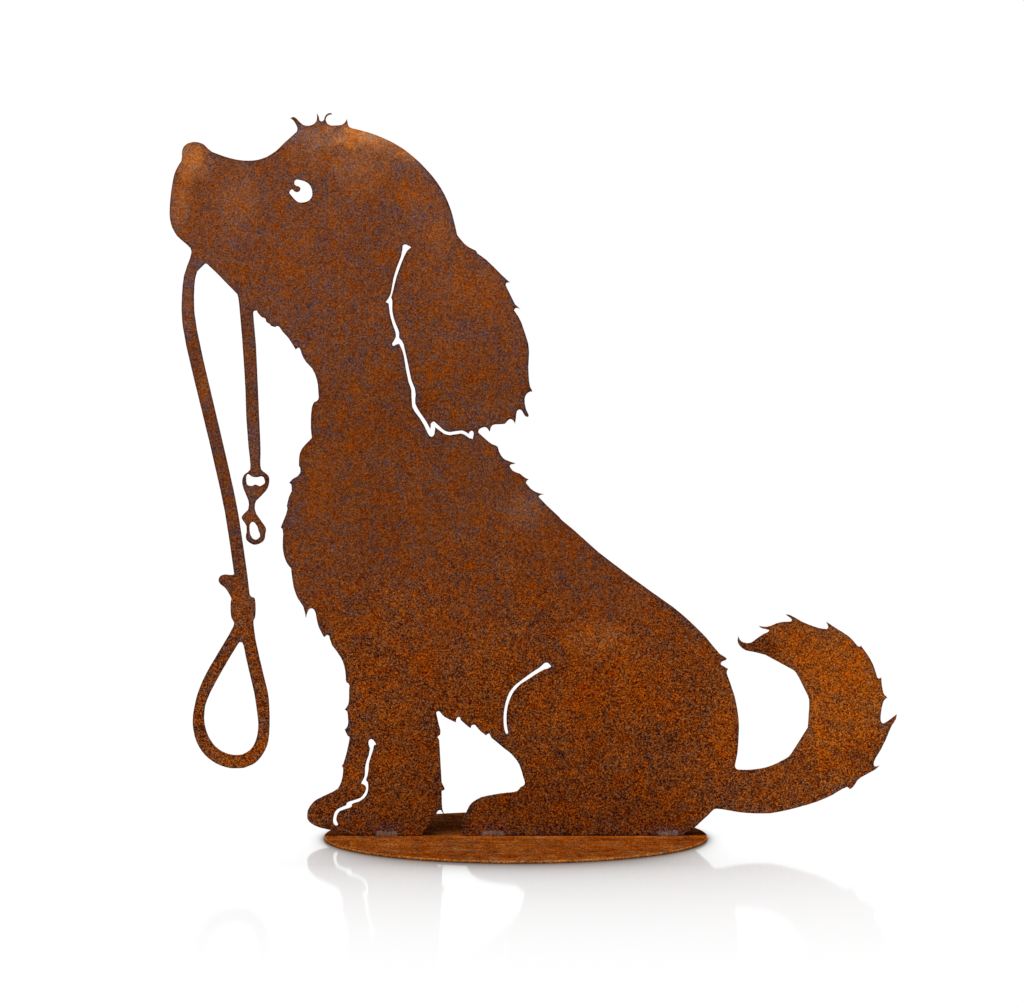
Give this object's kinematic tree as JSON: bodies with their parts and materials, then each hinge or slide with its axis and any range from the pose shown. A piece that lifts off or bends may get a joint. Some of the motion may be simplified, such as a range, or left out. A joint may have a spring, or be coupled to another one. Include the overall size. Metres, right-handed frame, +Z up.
{
  "type": "sheet metal dog silhouette on a round base",
  "caption": "Flat rusted steel cut-out of a sitting puppy that holds its lead in its mouth, welded upright on a round steel plate, as a free-standing ornament.",
  "frame": {"origin": "centre of the round base plate's underside", "axes": "+Z up, +X along the sheet from the nose side towards the tail side, -Y out of the sheet's front face, where the weld beads are"},
  "size_m": [0.4995, 0.264, 0.5001],
  "materials": {
    "rusted_sheet": "raw steel sheet rusted all over, fine orange and brown-violet speckle, matt",
    "rusted_base": "raw steel plate rusted all over, more orange than the sheet, matt",
    "weld_metal": "brushed-off weld metal, grey with a thin bloom of rust"
  },
  "bodies": {
    "root": {"dog_plate": "rusted_sheet", "base_plate": "rusted_base", "front_paw_weld": "weld_metal", "hind_foot_weld": "weld_metal", "rump_weld": "weld_metal"}
  },
  "joints": []
}
